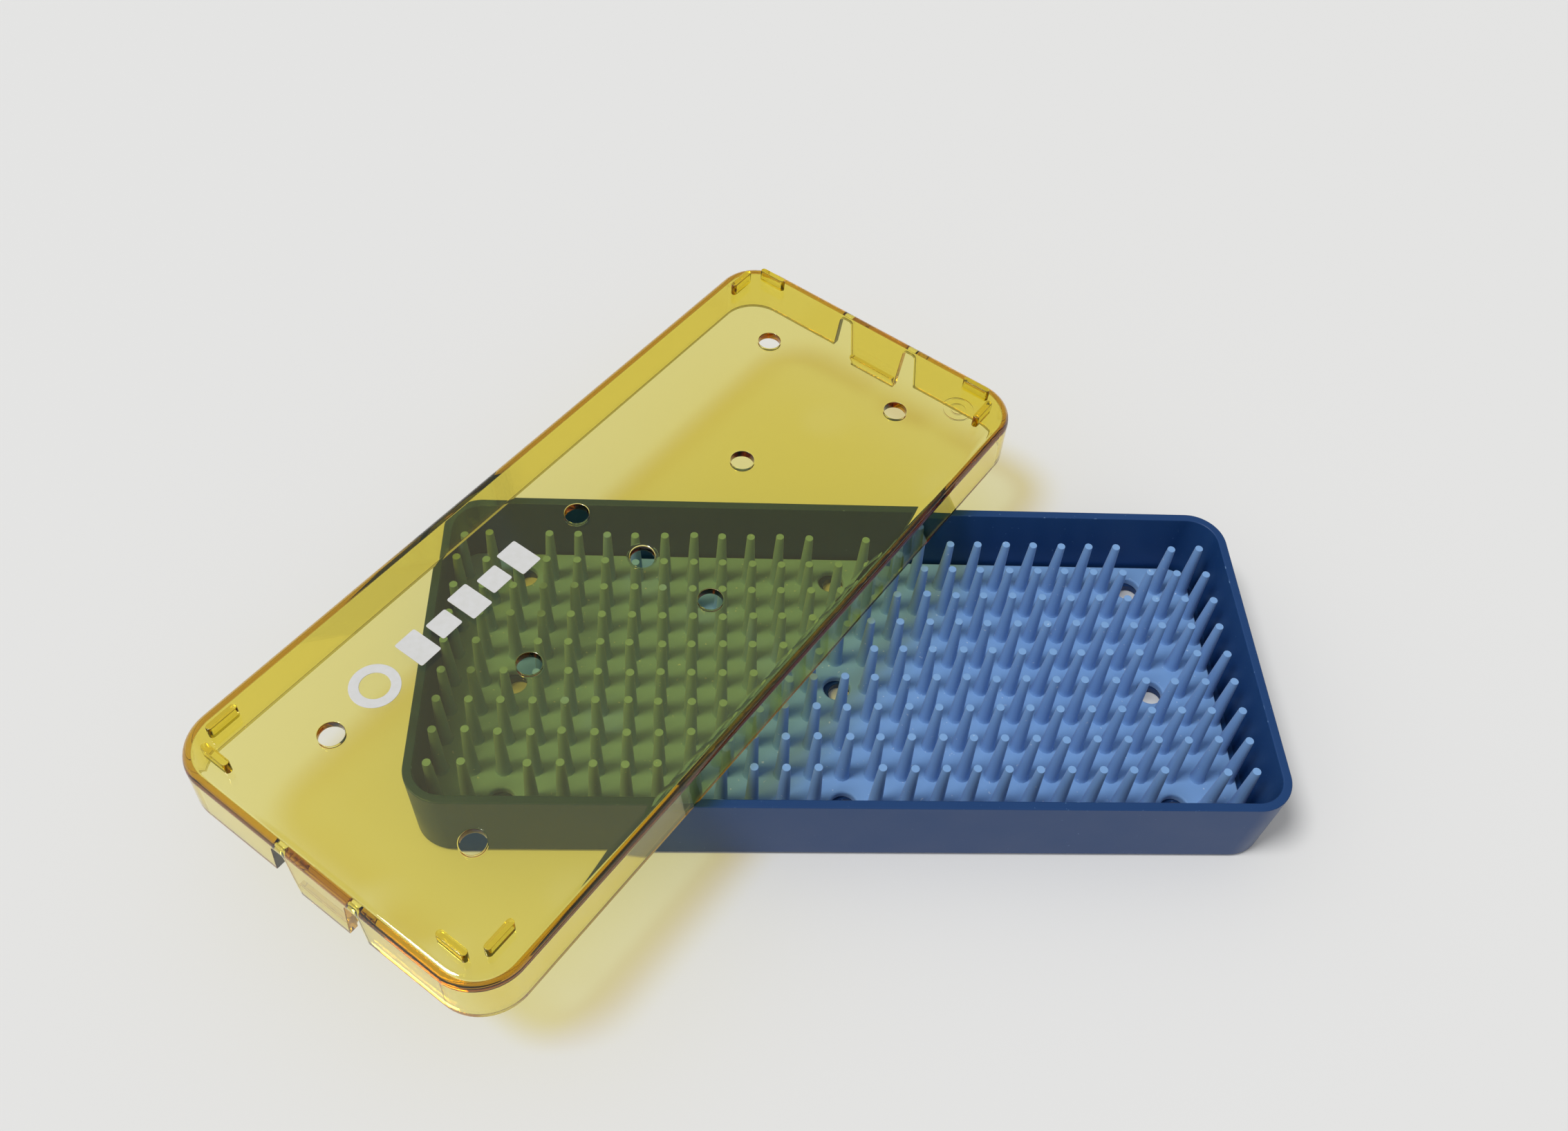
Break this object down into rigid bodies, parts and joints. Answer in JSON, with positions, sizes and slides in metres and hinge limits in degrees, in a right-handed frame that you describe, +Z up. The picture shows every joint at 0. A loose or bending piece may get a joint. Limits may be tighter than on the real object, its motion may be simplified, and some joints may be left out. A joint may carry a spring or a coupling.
{
  "type": "instrument sterilising tray",
  "caption": "Flat perforated sterilising tray for small instruments: opaque base, soft mat of upright pins, and a clear amber latching lid laid across it.",
  "frame": {"origin": "centre of the base's underside, on the surface that the tray stands on", "axes": "+X along the base's long side, +Y across it, +Z up"},
  "size_m": [0.1854, 0.159, 0.0313],
  "materials": {
    "base_plastic": "fine moulded satin",
    "mat_silicone": "matt moulded",
    "lid_clear_plastic": "clear polished amber",
    "print_ink": "matt screen print"
  },
  "bodies": {
    "tray_base": {"base": "base_plastic"},
    "mat": {"finger_mat": "mat_silicone"},
    "lid": {"lid": "lid_clear_plastic", "lid_print": "print_ink"}
  },
  "joints": [
    {"name": "lid_lift", "type": "slide", "parent": "tray_base", "child": "lid", "axis": [0, 0, 1], "range_m": [0, 0.06]},
    {"name": "mat_lift", "type": "slide", "parent": "tray_base", "child": "mat", "axis": [0, 0, 1], "range_m": [0, 0.03]}
  ],
  "couplings": [
    {"joint": "mat_lift", "follows": "lid_lift", "ratio": 0.5}
  ]
}
